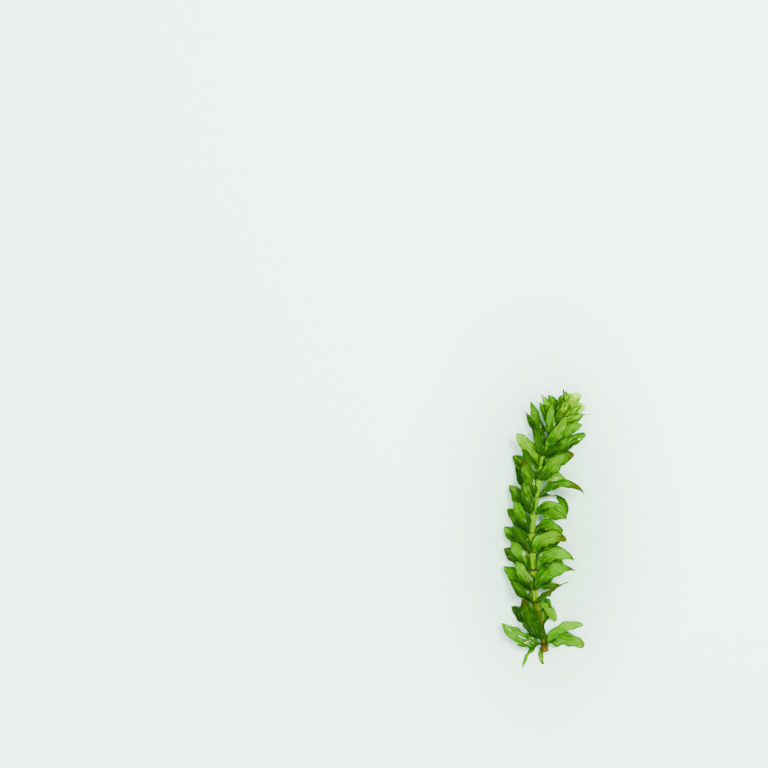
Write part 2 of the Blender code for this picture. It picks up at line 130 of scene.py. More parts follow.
# The leaves that stand apart, whorl by whorl from the cut end
LEAVES = {
    0: [
        Leaf(38, 15.6, 3.2, 27, 82, 0.9, 0.5),
        Leaf(-30, 13.8, 4.2, 74, 66, 1.0, 0.5),
        Leaf(186, 15.6, 4.6, 74, -44, 1.0, 1.0),
        Leaf(130, 16.4, 5.8, 34, -40, 0.5, 0.7, 2.0),
        Leaf(238, 13.4, 2.0, 108, 52, 0.1, 1.2),
        Leaf(258, 7.6, 1.5, 126, 70, 1.0, 0.6, -1.3),
    ],
    1: [
        Leaf(150, 11.6, 4.2, 6, 6, 1.0, 0.8),
        Leaf(222, 11.4, 4.2, 24, 10, 1.0, 0.9),
        Leaf(264, 8.6, 3.2, 10, 6, 1.0, 0.9),
    ],
    2: [
        Leaf(-35, 9.6, 2.9, 136, 26, 1.0, 0.5),
        Leaf(2, 5.4, 2.0, 60, 150, 0.6, 0.5),
        Leaf(46, 16.0, 2.6, 52, 24, 0.4, 1.4),
        Leaf(165, 9.8, 3.6, 20, 6, 0.9, 0.8),
        Leaf(230, 11.2, 4.2, 32, 8, 1.0, 1.0),
    ],
    3: [
        Leaf(48, 17.2, 5.0, 20, 96, 1.0, 1.2),
        Leaf(-22, 9.0, 4.2, 84, 10, 1.0, 1.0),
        Leaf(130, 11.6, 4.4, 18, 4, 0.9, 0.9),
        Leaf(200, 12.0, 4.6, 32, 8, 1.0, 1.0),
    ],
    4: [
        Leaf(26, 16.0, 4.6, 16, 126, 1.0, 1.3),
        Leaf(-50, 12.0, 4.8, 56, 66, 1.0, 1.0),
        Leaf(155, 11.8, 4.4, 20, 4, 1.0, 0.7),
        Leaf(230, 12.0, 4.6, 38, 14, 1.0, 1.0),
    ],
    5: [
        Leaf(48, 13.9, 5.0, 12, 120, 1.0, 0.6),
        Leaf(-20, 9.8, 4.8, 80, 16, 1.0, 1.0),
        Leaf(130, 11.2, 4.4, 16, 8, 0.9, 1.1),
        Leaf(200, 12.0, 4.6, 36, 4, 1.0, 0.8),
    ],
    6: [
        Leaf(28, 13.8, 4.2, 20, 206, 0.8, 0.6),
        Leaf(-50, 11.0, 4.8, 80, 14, 1.0, 0.8),
        Leaf(155, 12.0, 4.4, 20, 12, 0.9, 0.8),
        Leaf(230, 11.8, 4.4, 38, 8, 1.0, 1.0),
    ],
    7: [
        Leaf(48, 14.8, 4.4, 16, 156, 1.0, 1.3),
        Leaf(-20, 11.2, 5.0, 54, 20, 1.0, 0.9),
        Leaf(130, 11.4, 4.2, 18, 4, 0.9, 0.7),
        Leaf(202, 12.0, 4.6, 32, 10, 1.0, 1.0),
    ],
    8: [
        Leaf(26, 18.6, 4.0, 12, 118, 0.8, 1.4),
        Leaf(-20, 15.0, 3.2, 52, 126, 0.15, 1.0),
        Leaf(138, 13.2, 4.0, 20, 0, 0.9, 0.9),
        Leaf(230, 12.4, 4.6, 36, 8, 1.0, 1.0),
    ],
    9: [
        Leaf(50, 13.2, 4.8, 26, 10, 1.0, 1.0),
        Leaf(-20, 8.6, 4.4, 70, 26, 1.0, 1.2),
        Leaf(150, 11.4, 4.2, 20, 4, 1.0, 0.9),
        Leaf(205, 11.8, 4.6, 34, 6, 1.0, 1.0),
    ],
    10: [
        Leaf(26, 12.2, 4.6, 24, 12, 1.0, 0.8),
        Leaf(170, 13.2, 4.4, 32, 14, 1.0, 0.8),
        Leaf(-50, 12.2, 4.6, 50, 20, 1.0, 1.0),
        Leaf(236, 11.6, 3.8, 50, 20, 1.0, 1.0),
    ],
    11: [
        Leaf(44, 12.8, 4.2, 34, -36, 1.0, 0.9),
        Leaf(-20, 12.0, 4.2, 44, 6, 1.0, 0.9),
        Leaf(116, 9.8, 3.0, 30, 2, 0.9, 0.9),
    ],
    12: [
        Leaf(8, 13.2, 3.6, 46, -26, 0.8, 0.6),
        Leaf(172, 15.6, 3.2, 34, 10, 0.8, 1.1),
        Leaf(206, 13.2, 3.0, 48, 12, 1.0, 1.1),
        Leaf(75, 12.8, 4.0, 22, -6, 1.0, 0.8),
    ],
    13: [
        Leaf(118, 11.6, 3.6, 30, -8, 1.0, 0.9),
        Leaf(62, 10.6, 3.6, 26, -6, 1.0, 0.8),
        Leaf(-50, 11.6, 3.6, 34, 10, 1.0, 0.9),
    ],
}

# The young leaves of the growing tip
TIP_LEAVES = {
    0: [
        Leaf(84, 9.4, 3.8, 10, 6, 0.8, 0.7),
        Leaf(140, 9.2, 3.0, 46, 4, 0.8, 1.0),
        Leaf(176, 9.8, 2.8, 52, 6, 0.8, 1.1),
        Leaf(20, 10.6, 3.4, 34, 6, 0.7, 0.9),
        Leaf(-70, 10.6, 3.6, 30, 20, 0.8, 0.9),
    ],
    1: [
        Leaf(98, 9.6, 4.0, 14, -4, 0.9, 0.5),
        Leaf(40, 9.8, 3.4, 30, 4, 0.7, 0.8),
        Leaf(-12, 11.4, 2.0, 40, 28, 0.1, 1.3),
        Leaf(166, 10.8, 2.4, 50, 10, 0.8, 1.2),
        Leaf(-100, 9.8, 3.4, 20, 20, 0.8, 0.9),
    ],
    2: [
        Leaf(60, 10.4, 4.2, 18, 0, 0.9, 0.6),
        Leaf(20, 8.6, 3.8, 42, -4, 0.8, 0.6),
        Leaf(120, 7.6, 3.0, 30, 0, 0.8, 0.8),
        Leaf(200, 8.0, 2.8, 44, 20, 0.7, 0.9),
        Leaf(-60, 8.6, 3.2, 34, 20, 0.7, 0.9),
    ],
    3: [
        Leaf(130, 7.8, 1.4, 30, 0, 0.1, 1.2),
        Leaf(90, 6.4, 3.2, 14, -10, 0.6, 0.6),
        Leaf(40, 6.8, 3.0, 26, -10, 0.6, 0.6),
        Leaf(-30, 6.6, 2.8, 30, -10, 0.5, 0.7),
        Leaf(-110, 6.4, 2.8, 30, -10, 0.5, 0.7),
    ],
    4: [
        Leaf(160, 5.0, 2.4, 26, -20, 0.3, 0.6),
        Leaf(70, 4.8, 2.6, 20, -20, 0.3, 0.5),
        Leaf(-10, 5.0, 2.4, 26, -20, 0.3, 0.6),
        Leaf(-100, 4.8, 2.4, 24, -20, 0.3, 0.6),
    ],
}

# The steps tried each way on a leaf until it is clear of the others, in degrees, and then all of them
# again with the leaf a tenth shorter each time
TRY_SEATS = range(-8, 9)
TRY_SPREADS = range(-4, 5)
TRY_RECURVES = range(-3, 4)
TRY_SEAT = 5.0
TRY_SPREAD = 5.0
TRY_RECURVE = 12.0
TRY_SHORTER = 0.9
TRY_LENGTHS = 5
# The shapes in that search: the corners and steps of the stem's tube, and the corners of a leaf's row in
# order round it, from the three below to the three above
STEM_SIDES = 12
STEM_STEPS = 140
SHELL_RING = (0, 1, 2, 5, 4, 3)

# The fine blades: their grid, with rows inside the stem's ring before the others, and how deep they start
BLADE_ROWS = 55
BLADE_COLUMNS = 11
MIDDLE_COLUMN = (BLADE_COLUMNS - 1) // 2
SEAT_ROWS = 3
SEAT_DEPTH = 0.25
# How a blade clasps the stem: its share of full width there, and how far along it and round the stem
FINE_SEAT_WIDTH = 0.55
CLASP_SHARE = 0.16
CLASP_ANGLE = 1.1
# How wide it is beside its solid, how thick, and the share of that left at its edges
WIDER = 1.1
BLADE_THICK = 0.1
THIN_EDGE = 0.35
# How it is creased at its seat and its tip, in times its solid's keel, how soft the crease is, and how
# far the blade may twist from seat to tip
SEAT_CREASES = (0.4, 2.6)
TIP_CREASES = (-1.6, 2.4)
FOLD_SOFT = 0.03
BLADE_TWIST = 0.75
# Its midrib: a groove above, a ridge below, and lower toward the tip
RIB_HEIGHT = 0.07
RIB_WIDTH = 0.16
RIB_ABOVE = 0.35
RIB_FADE = 0.7
# How far its tip droops, the share of that drawn for each leaf, and where along it that starts
TIP_CURL = 1.5
CURLS = (-0.4, 1.0)
CURL_FROM = 0.5
# The height that a blade is pressed to differs by up to this, and drops with each millimetre into the
# growing tip
LAYER = 0.25
LAYER_DROP = 0.12
# The waves of its two edges up and down: their height and length, how closely they keep to the edge, and
# the rates and sizes drawn for each edge
WAVE = 0.42
WAVE_LENGTH = 4.2
WAVE_POWER = 1.6
WAVE_RATES = (0.7, 1.4)
WAVE_SIZES = (0.4, 1.2)
# The waves of its outline, its fine teeth, and how soon past the seat waves and teeth are in full
OUTLINE_WAVE = 0.19
OUTLINE_LENGTH = 5.5
TOOTH = 0.045
TOOTH_ROWS = 3
TOOTH_POWER = 7
EDGE_RISE = 3.0
# Each leaf draws a number up to this for its noises, so that no two are alike
LEAF_NUMBERS = 200

# The fine stem: its grid, its ribs as shares of its radius, and how the dark rings fade
FINE_SIDES = 40
STEM_STEP = 0.35
STEM_RIB = 0.012
STEADY_RIBS = 10
DRIFTING_RIBS = 7
RIB_DRIFT = 0.13
RING_HALF = 0.25
RING_FADE = 0.5
# Its ends, as rings of (share of its radius, millimetres ahead along it)
CUT_CAP = [(0.25, 0.24), (0.55, 0.2), (0.82, 0.06), (0.94, -0.04)]
FLAT_CAP = []
ROUND_CAP = [(0.85, 0.3), (0.5, 0.55), (0.15, 0.65)]

# Leaves with an outline of their own: how wide they are beside their solids, how far they are drawn
# out, where along them that starts, and their share of full width at the tip
OUTLINES = {
    "leaf_01_f": (1.25, 0.4, WIDE_TO, TIP_WIDTH),
    "leaf_03_c": (1.1, 5.0, 0.22, 0.2),
    "leaf_04_a": (1.1, 1.7, 0.5, TIP_WIDTH),
    "leaf_04_b": (0.6, 1.6, 0.4, TIP_WIDTH),
    "leaf_08_a": (0.66, 1.1, WIDE_TO, TIP_WIDTH),
    "leaf_09_a": (0.72, 1.2, WIDE_TO, TIP_WIDTH),
    "young_02_c": (1.1, 1.6, 0.4, 0.2),
    "young_04_a": (1.1, 1.2, 0.5, 0.25),
}

# How light a leaf usually is: its start, its spread, the painted shade that darkens it on the left, as
# though lit from the right, and how much lighter for each millimetre into the growing tip. Then how far
# it may have browned at its tip.
OLD_LIGHT = 0.45
YOUNG_LIGHT = -0.1
TINT_SPREAD = 0.4
LEFT_PAINTED_SHADE = 0.5
YOUNG_LIGHTER = 0.1
USUAL_BROWNING = (0.0, 0.0, 0.1, 0.35)

# Looks of the leaves that stand out: how light they are, and how far they have browned at the tip
LOOKS = {
    "leaf_01_a": (0.7, 0.05),
    "leaf_01_b": (0.75, 0.15),
    "leaf_01_c": (0.42, 0.1),
    "leaf_01_d": (-0.25, 0.7),
    "leaf_01_e": (0.6, 0.25),
    "leaf_01_f": (0.8, 0.7),
    "leaf_02_a": (0.2, 0.1),
    "leaf_03_a": (0.95, 0.0),
    "leaf_03_b": (0.2, 0.6),
    "leaf_03_c": (0.25, 2.9),
    "leaf_04_a": (0.5, 1.0),
    "leaf_05_a": (0.55, 0.6),
    "leaf_06_a": (0.85, 1.0),
    "leaf_07_a": (0.5, 1.1),
    "leaf_08_a": (0.4, 0.6),
    "leaf_09_a": (0.15, 1.5),
    "leaf_09_c": (0.2, 0.9),
    "leaf_10_b": (0.8, 0.0),
    "leaf_11_a": (0.15, 1.1),
    "leaf_11_b": (1.1, 0.1),
    "leaf_12_a": (0.05, 0.2),
    "leaf_13_a": (0.1, 0.0),
    # Painted shade: leaf_13_b is darkened to stand for the shadowed gap beside it near the stem
    "leaf_13_b": (0.0, 0.1),
    "leaf_13_d": (0.7, 0.0),
    "leaf_14_b": (0.7, 0.0),
    "young_01_a": (0.15, 0.0),
    "young_01_d": (0.1, 0.0),
    "young_02_b": (0.25, 0.0),
    "young_02_c": (0.2, 2.0),
    "young_03_a": (0.8, 0.0),
    "young_03_b": (1.1, 0.0),
    "young_04_a": (0.0, 1.2),
    "young_04_b": (0.3, 0.0),
}


def smoothstep(value):
    value = min(max(value, 0.0), 1.0)
    return value * value * (3 - 2 * value)


def catmull_rom(before, start, end, after, share):
    """A point between start and end on the smooth curve through all four."""
    square = share * share
    cube = square * share
    return 0.5 * (
        2 * start
        + (end - before) * share
        + (2 * before - 5 * start + 4 * end - after) * square
        + (3 * start - before - 3 * end + after) * cube
    )


def smooth_route():
    """The stem's centre line as close points, each with its distance from the cut end."""
    knots = [Vector(point) for point in STEM_ROUTE]
    knots = [2 * knots[0] - knots[1], *knots, 2 * knots[-1] - knots[-2]]
    points = []
    for index in range(1, len(knots) - 2):
        for step in range(ROUTE_STEPS):
            points.append(catmull_rom(*knots[index - 1:index + 3], step / ROUTE_STEPS))
    points.append(knots[-2])
    distances = [0.0]
    for last, point in zip(points, points[1:]):
        distances.append(distances[-1] + (point - last).length)
    return points, distances


ROUTE_POINTS, ROUTE_DISTANCES = smooth_route()
STEM_LENGTH = ROUTE_DISTANCES[-1]


def stem_at(distance):
    """The stem's centre and direction at a distance from the cut end."""
    index = 0
    while index < len(ROUTE_DISTANCES) - 2 and ROUTE_DISTANCES[index + 1] < distance:
        index += 1
    start, end = ROUTE_POINTS[index], ROUTE_POINTS[index + 1]
    length = ROUTE_DISTANCES[index + 1] - ROUTE_DISTANCES[index]
    share = (distance - ROUTE_DISTANCES[index]) / length
    return start.lerp(end, share), (end - start).normalized()


def from_whorl(distance, whorls):
    """How far it is along the stem to the nearest of these whorls."""
    return min(abs(distance - whorl) for whorl in whorls)


def stem_radius(distance):
    """Full along the old stem, narrower toward the tip, with a low ring at each whorl."""
    radius = STEM_RADIUS_CUT + (STEM_RADIUS_OLD - STEM_RADIUS_CUT) * smoothstep(distance / OLD_FROM)
    young = smoothstep((distance - OLD_UNTIL) / (TIP_START - OLD_UNTIL))
    radius += (STEM_RADIUS_YOUNG - STEM_RADIUS_OLD) * young
    tip = smoothstep((distance - TIP_START) / (STEM_LENGTH - TIP_START))
    radius += (STEM_RADIUS_TIP - STEM_RADIUS_YOUNG) * tip
    swell = smoothstep(1 - from_whorl(distance, WHORLS) / (2 * NODE_HALF))
    return radius * (1 + (NODE_SWELL - 1) * swell)


def stem_axes(distance):
    """The centre, the direction along the stem, the direction to its right, and the one up from it."""
    centre, along = stem_at(distance)
    right = along.cross(UP).normalized()
    return centre, along, right, right.cross(along)


def outline(share, seat_width, point, taper_from, tip_width):
    """A blade's share of its width: narrow at the seat, widest before the middle, pointed at the tip."""
    base = seat_width + (1 - seat_width) * math.sin(min(share / WIDE_FROM, 1.0) * math.pi / 2)
    end = max((share - taper_from) / (1 - taper_from), 0.0)
    taper = (1 - end * end) ** point
    return tip_width + (1 - tip_width) * base * taper


def leaf_width(leaf, share):
    """Half the solid's width."""
    return leaf.width / 2 * outline(share, SEAT_WIDTH, leaf.point, WIDE_TO, TIP_WIDTH)


def softly_above(height, limit, blend):
    """The height, raised smoothly where it comes near the limit or under it."""
    over = (height - limit) / blend
    return limit + blend * (max(over, 0.0) + math.log1p(math.exp(-abs(over))))


def pressed_point(point, ceiling=PRESSED_HEIGHT):
    """The point, kept between the surface that the sprig lies on and the height it is pressed to."""
    height = softly_above(point.z, THICK / 2, FLOOR_BLEND)
    height = -softly_above(-height, -ceiling, CEILING_BLEND)
    return Vector((point.x, point.y, height))


def leaf_rows(leaf, distance, rows, start, pressed):
    """The midrib as rows of (centre, side, face, half width), from the stem out to the leaf's tip."""
    centre, along, right, rise = stem_axes(distance)
    seat = math.radians(leaf.seat)
    out = math.cos(seat) * right + math.sin(seat) * rise
    round_stem = math.cos(seat) * rise - math.sin(seat) * right
    heading = (math.cos(seat) * right + pressed * math.sin(seat) * rise).normalized()
    # which edge leads as the blade comes to lie flat: the other one for a leaf on the underside, and
    # for one that points back down the stem
    leading = 1 if (leaf.seat % 360 <= 180) == (leaf.spread <= 90) else -1
    point = centre + out * start
    step = leaf.length / (rows - 1)
    result = []
    for row in range(rows):
        share = row / (rows - 1)
        angle = math.radians(leaf.spread + leaf.recurve * share)
        ahead = math.sin(angle) * heading + math.cos(angle) * along
        flat_side = UP.cross(ahead) * leading
        reach = (point - centre - out * start).dot(heading)
        turn = leaf.flat * smoothstep(reach / (FLAT_AFTER * leaf.width))
        side = round_stem.lerp(flat_side.normalized(), turn)
        side = (side - ahead * side.dot(ahead)).normalized()
        half = leaf_width(leaf, share)
        result.append((point.copy(), side, side.cross(ahead), half))
        middle = math.radians(leaf.spread + leaf.recurve * (share + 0.5 / (rows - 1)))
        point += step * (math.sin(middle) * heading + math.cos(middle) * along)
    return result


def leaf_point(row, across):
    """A point of the blade: across is -1 at one edge, 0 on the midrib and 1 at the other edge."""
    centre, side, face, half = row
    point = centre + side * (half * across) + face * (KEEL * half * abs(across))
    return pressed_point(point)


def padded_shell(rows, pad):
    """The blade as a closed strip, this much thicker all round: vertices and faces."""
    verts = []
    for centre, side, face, half in rows:
        wide = (centre, side, face, half + pad)
        for offset in (-THICK / 2 - pad, THICK / 2 + pad):
            for across in (-1, 0, 1):
                verts.append(leaf_point(wide, across) + face * offset)
    faces = []
    corners = len(SHELL_RING)
    last = len(verts) - corners
    for low in range(0, last, corners):
        high = low + corners
        for first, second in zip(SHELL_RING, SHELL_RING[1:] + SHELL_RING[:1]):
            faces.append((low + first, low + second, high + second, high + first))
    for end in (0, last):
        faces.append((end, end + 1, end + 4, end + 3))
        faces.append((end + 1, end + 2, end + 5, end + 4))
    return verts, faces


def padded_stem(pad):
    """The stem as a closed tube, this much thicker: vertices and faces."""
    verts = []
    for step in range(STEM_STEPS + 1):
        distance = STEM_LENGTH * step / STEM_STEPS
        centre, _, right, rise = stem_axes(distance)
        for side in range(STEM_SIDES):
            angle = 2 * math.pi * side / STEM_SIDES
            out = math.cos(angle) * right + math.sin(angle) * rise
            verts.append(centre + out * (stem_radius(distance) + pad))
    faces = []
    for step in range(STEM_STEPS):
        low = STEM_SIDES * step
        high = low + STEM_SIDES
        for side in range(STEM_SIDES):
            following = (side + 1) % STEM_SIDES
            faces.append((low + side, low + following, high + following, high + side))
    return verts, faces


def tries():
    """The small changes to a leaf's seat, spread and recurve, smallest first."""
    steps = itertools.product(TRY_SEATS, TRY_SPREADS, TRY_RECURVES)
    return sorted(steps, key=lambda step: (step[0] ** 2 + step[1] ** 2 + step[2] ** 2, step))


TRIES = tries()


def place_leaf(leaf, distance, rows, start, pressed, trees, pad):
    """The leaf, changed as little as it takes to be clear of the ones already placed."""
    for shorter in range(TRY_LENGTHS):
        for seat, spread, recurve in TRIES:
            trial = leaf._replace(
                seat=leaf.seat + seat * TRY_SEAT,
                spread=leaf.spread + spread * TRY_SPREAD,
                recurve=leaf.recurve + recurve * TRY_RECURVE,
                length=leaf.length * TRY_SHORTER ** shorter,
            )
            shape = leaf_rows(trial, distance, rows, start, pressed)
            tree = BVHTree.FromPolygons(*padded_shell(shape, pad))
            if not any(tree.overlap(other) for other in trees):
                trees.append(tree)
                return trial
    raise RuntimeError(f"no room for a leaf at {distance}: {leaf}")


Placed = namedtuple("Placed", "name leaf distance start pressed shape")


def place_all():
    """Every leaf as the solids have it: those of the growing tip, then the others from the tip down."""
    young = []
    for whorl, leaves in TIP_LEAVES.items():
        distance = TIP_WHORLS[whorl]
        start = TIP_SEAT_DEPTH * stem_radius(distance)
        for letter, leaf in zip(string.ascii_lowercase, leaves):
            shape = leaf_rows(leaf, distance, TIP_ROWS, start, TIP_PRESSED)
            name = f"young_{whorl + 1:02d}_{letter}"
            young.append(Placed(name, leaf, distance, start, TIP_PRESSED, shape))
    pad = GAP / 2
    trees = [BVHTree.FromPolygons(*padded_stem(pad))]
    trees += [BVHTree.FromPolygons(*padded_shell(each.shape, pad)) for each in young]
    old = []
    for whorl, leaves in reversed(LEAVES.items()):
        for letter, leaf in zip(string.ascii_lowercase, leaves):
            distance = WHORLS[whorl] + leaf.ahead
            start = stem_radius(distance) + THICK / 2 + SEAT_GAP
            found = place_leaf(leaf, distance, LEAF_ROWS, start, PRESSED, trees, pad)
            shape = leaf_rows(found, distance, LEAF_ROWS, start, PRESSED)
            name = f"leaf_{whorl + 1:02d}_{letter}"
            old.append(Placed(name, found, distance, start, PRESSED, shape))
    return old, young


def frame_shift(old):
    """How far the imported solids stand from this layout, as the mean over all the leaves."""
    total = Vector()
    for each in old:
        verts, _ = padded_shell(each.shape, 0.0)
        low = Vector(min(vert[axis] for vert in verts) for axis in range(3))
        high = Vector(max(vert[axis] for vert in verts) for axis in range(3))
        solid_low, solid_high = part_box(each.name)
        total += (solid_low + solid_high) / (2 * MM) - (low + high) / 2
    shift = total / len(old)
    return Vector((shift.x, shift.y, 0.0))


old_leaves, young_leaves = place_all()
SHIFT = frame_shift(old_leaves)


def to_frame(point):
    return (point + SHIFT) * MM


# Materials. A ramp is given as (low, high, start, end): what is at low or before it gives start, and
# what is at high or past it gives end. Start and end are 0 and 1 where they are left out.

NOISE_DETAIL = 3.0
SOFT_DETAIL = 2.0
# How much the finer of two noises adds to the relief of the other
FINE_RELIEF = 0.5


def feed(tree, socket, value):
    """Sets an input from a number, a colour, or another node's output."""
    if isinstance(value, bpy.types.NodeSocket):
        tree.links.new(value, socket)
    else:
        socket.default_value = value


def add_node(tree, kind, inputs, **settings):
    node = tree.nodes.new("ShaderNode" + kind)
    for key, value in settings.items():
        setattr(node, key, value)
    for key, value in inputs.items():
        feed(tree, node.inputs[key], value)
    return node


def calculate(tree, operation, first, second=0.0, third=0.0):
    return add_node(tree, "Math", {0: first, 1: second, 2: third}, operation=operation).outputs[0]


def product(tree, first, second):
    return calculate(tree, "MULTIPLY", first, second)


def ramp(tree, value, low, high, start=0.0, end=1.0):
    """The value's smooth rise from start to end as it goes from low to high."""
    inputs = {"Value": value, "From Min": low, "From Max": high, "To Min": start, "To Max": end}
    return add_node(tree, "MapRange", inputs, interpolation_type="SMOOTHSTEP").outputs[0]


def blend(tree, share, first, second):
    """A mix of two colours, which a Mix node has at its inputs 6 and 7 and its output 2."""
    node = tree.nodes.new("ShaderNodeMix")
    node.data_type = "RGBA"
    feed(tree, node.inputs[0], share)
    feed(tree, node.inputs[6], first)
    feed(tree, node.inputs[7], second)
    return node.outputs[2]


def attribute(tree, name):
    return add_node(tree, "Attribute", {}, attribute_name=name)


def cloudy(tree, vector, stretch, detail=NOISE_DETAIL):
    """Noise over a vector that is first scaled along each of its axes."""
    scaled = add_node(tree, "VectorMath", {0: vector, 1: stretch}, operation="MULTIPLY").outputs[0]
    return add_node(tree, "TexNoise", {"Vector": scaled, "Scale": 1.0, "Detail": detail}).outputs[0]


def bumped(tree, height, strength, distance):
    """A normal for relief of this height, with the distance in millimetres."""
    inputs = {"Height": height, "Strength": strength, "Distance": distance * MM}
    return add_node(tree, "Bump", inputs).outputs[0]


def new_material(name, surface):
    """A material whose shader has these settings all over the surface."""
    material = bpy.data.materials.new(name)
    material.use_nodes = True
    shader = material.node_tree.nodes["Principled BSDF"]
    for key, value in surface.items():
        shader.inputs[key].default_value = value
    return material, material.node_tree, shader


DARK_LEAF = (0.015, 0.09, 0.0001, 1)
MID_LEAF = (0.062, 0.3, 0.0001, 1)
LIGHT_LEAF = (0.155, 0.39, 0.0001, 1)
PALE_LEAF = (0.42, 0.72, 0.0002, 1)
YOUNG_DARK = (0.022, 0.12, 0.0001, 1)
YOUNG_MID = (0.11, 0.36, 0.0001, 1)
OLIVE_BROWN = (0.055, 0.06, 0.001, 1)
LEAF_SURFACE = {
    "Roughness": 0.3,
    "IOR": 1.06,
    "Transmission Weight": 0.7,
    "Coat Roughness": 0.07,
}
# The relief's strength and distance, how much light the blade lets through, and how evenly green that is
LEAF_BUMP = (0.9, 0.24)
GLOW = 0.3
GLOW_EVEN = 0.3

# How each noise is stretched across the blade, along it and from leaf to leaf
STREAK_STRETCH = (1.6, 0.2, 1.0)
FINE_STRETCH = (3.4, 0.34, 1.0)
PATCH_STRETCH = (0.5, 0.34, 1.0)
# How much of each is added to the lightness, and the painted shade taken off it, more at the seat by the
# stem than at the tip
STREAK_LIGHT = 1.3
FINE_LIGHT = 0.8
PATCH_LIGHT = 1.0
SEAT_SHADE = (0.0, 0.75, 2.0, 1.45)

# The lightness at which each colour comes in, and at which pale marks, the painted highlights and the
# pale middle, show in full
TO_MID = (0.0, 0.5)
TO_LIGHT = (0.35, 1.0)
PALE_SHOWS = (-0.3, 0.5, 0.25, 1.0)
# The fine streaks that are pale (painted highlights), dark, and wet
PAINTED_GLINTS = (0.54, 0.7, 0.0, 0.65)
DARK_STREAKS = (0.46, 0.34, 0.0, 0.6)
WET_STREAKS = (0.56, 0.66, 0.0, 0.9)
# The pale middle, the dark edges and the dark midrib, across the blade and along it
MIDDLE_ACROSS = (0.1, 0.55, 0.4, 0.0)
MIDDLE_ALONG = (0.1, 0.5)
EDGES_ACROSS = (0.68, 0.98, 0.0, 0.7)
RIB_ACROSS = (0.03, 0.1, 1.0, 0.0)
RIB_ALONG = (0.2, 1.0, 0.5, 0.1)
# The browned tip: where along the leaf it starts, how far back that moves as the leaf browns, how much
# the patches make it ragged, how soft its border is, and how strong it is
BROWN_FROM = 1.2
BROWN_BACK = 0.26
BROWN_RAGGED = 0.3
BROWN_BORDER = (-0.08, 0.1)
BROWN_STRENGTH = (0.0, 0.3, 0.0, 0.9)


def leaf_material(name, dark, mid, light):
    """Wet, translucent blade: streaked along its length, with painted shade at its seat, painted
    highlights in pale fine streaks, and a browned tip.

    The attributes: blade is the place across and along the blade in millimetres and the leaf's number,
    along and across are shares of its length and half width, tint is how light it is, painted shade on
    some leaves included, and browned is how far it has browned.
    """
    material, tree, shader = new_material(name, LEAF_SURFACE)
    blade = attribute(tree, "blade").outputs["Vector"]
    along = attribute(tree, "along").outputs["Fac"]
    across = attribute(tree, "across").outputs["Fac"]
    tint = attribute(tree, "tint").outputs["Fac"]
    browned = attribute(tree, "browned").outputs["Fac"]

    streaks = cloudy(tree, blade, STREAK_STRETCH)
    fine_streaks = cloudy(tree, blade, FINE_STRETCH, SOFT_DETAIL)
    patches = cloudy(tree, blade, PATCH_STRETCH, SOFT_DETAIL)

    lightness = calculate(tree, "MULTIPLY_ADD", patches, PATCH_LIGHT, tint)
    lightness = calculate(tree, "MULTIPLY_ADD", streaks, STREAK_LIGHT, lightness)
    lightness = calculate(tree, "MULTIPLY_ADD", fine_streaks, FINE_LIGHT, lightness)
    # Painted shade: the lightness drops toward the seat, where the leaves crowd round the stem
    lightness = calculate(tree, "SUBTRACT", lightness, ramp(tree, along, *SEAT_SHADE))
    colour = blend(tree, ramp(tree, lightness, *TO_MID), dark, mid)
    colour = blend(tree, ramp(tree, lightness, *TO_LIGHT), colour, light)
    pale_shows = ramp(tree, lightness, *PALE_SHOWS)
    # Painted highlights: pale glints laid into the colour along the fine streaks where the blade is light
    painted_glints = product(tree, ramp(tree, fine_streaks, *PAINTED_GLINTS), pale_shows)
    colour = blend(tree, painted_glints, colour, light)
    colour = blend(tree, ramp(tree, fine_streaks, *DARK_STREAKS), colour, dark)

    from_rib = calculate(tree, "ABSOLUTE", across)
    middle = product(tree, ramp(tree, from_rib, *MIDDLE_ACROSS), ramp(tree, along, *MIDDLE_ALONG))
    colour = blend(tree, product(tree, middle, pale_shows), colour, light)
    colour = blend(tree, ramp(tree, from_rib, *EDGES_ACROSS), colour, dark)
    rib = product(tree, ramp(tree, from_rib, *RIB_ACROSS), ramp(tree, along, *RIB_ALONG))
    colour = blend(tree, rib, colour, dark)

    reach = calculate(tree, "MULTIPLY_ADD", patches, BROWN_RAGGED, along)
    brown_from = calculate(tree, "MULTIPLY_ADD", browned, -BROWN_BACK, BROWN_FROM)
    past = calculate(tree, "SUBTRACT", reach, brown_from)
    brown = product(tree, ramp(tree, past, *BROWN_BORDER), ramp(tree, browned, *BROWN_STRENGTH))
    colour = blend(tree, brown, colour, OLIVE_BROWN)

    height = calculate(tree, "MULTIPLY_ADD", fine_streaks, FINE_RELIEF, streaks)
    normal = bumped(tree, height, *LEAF_BUMP)
    feed(tree, shader.inputs["Base Color"], colour)
    feed(tree, shader.inputs["Normal"], normal)
    feed(tree, shader.inputs["Coat Normal"], normal)
    feed(tree, shader.inputs["Coat Weight"], ramp(tree, fine_streaks, *WET_STREAKS))

    through_colour = blend(tree, GLOW_EVEN, colour, mid)
    through = add_node(tree, "BsdfTranslucent", {"Color": through_colour, "Normal": normal})
    mixed = add_node(tree, "MixShader", {0: GLOW, 1: shader.outputs[0], 2: through.outputs[0]})
    tree.links.new(mixed.outputs[0], tree.nodes["Material Output"].inputs["Surface"])
    return material


STEM_BROWN = (0.011, 0.019, 0.0002, 1)
STEM_LOWER = (0.05, 0.085, 0.0001, 1)
STEM_UPPER = (0.03, 0.105, 0.0001, 1)
STEM_LIGHT = (0.052, 0.15, 0.0001, 1)
STEM_LINE = (0.025, 0.016, 0.0002, 1)
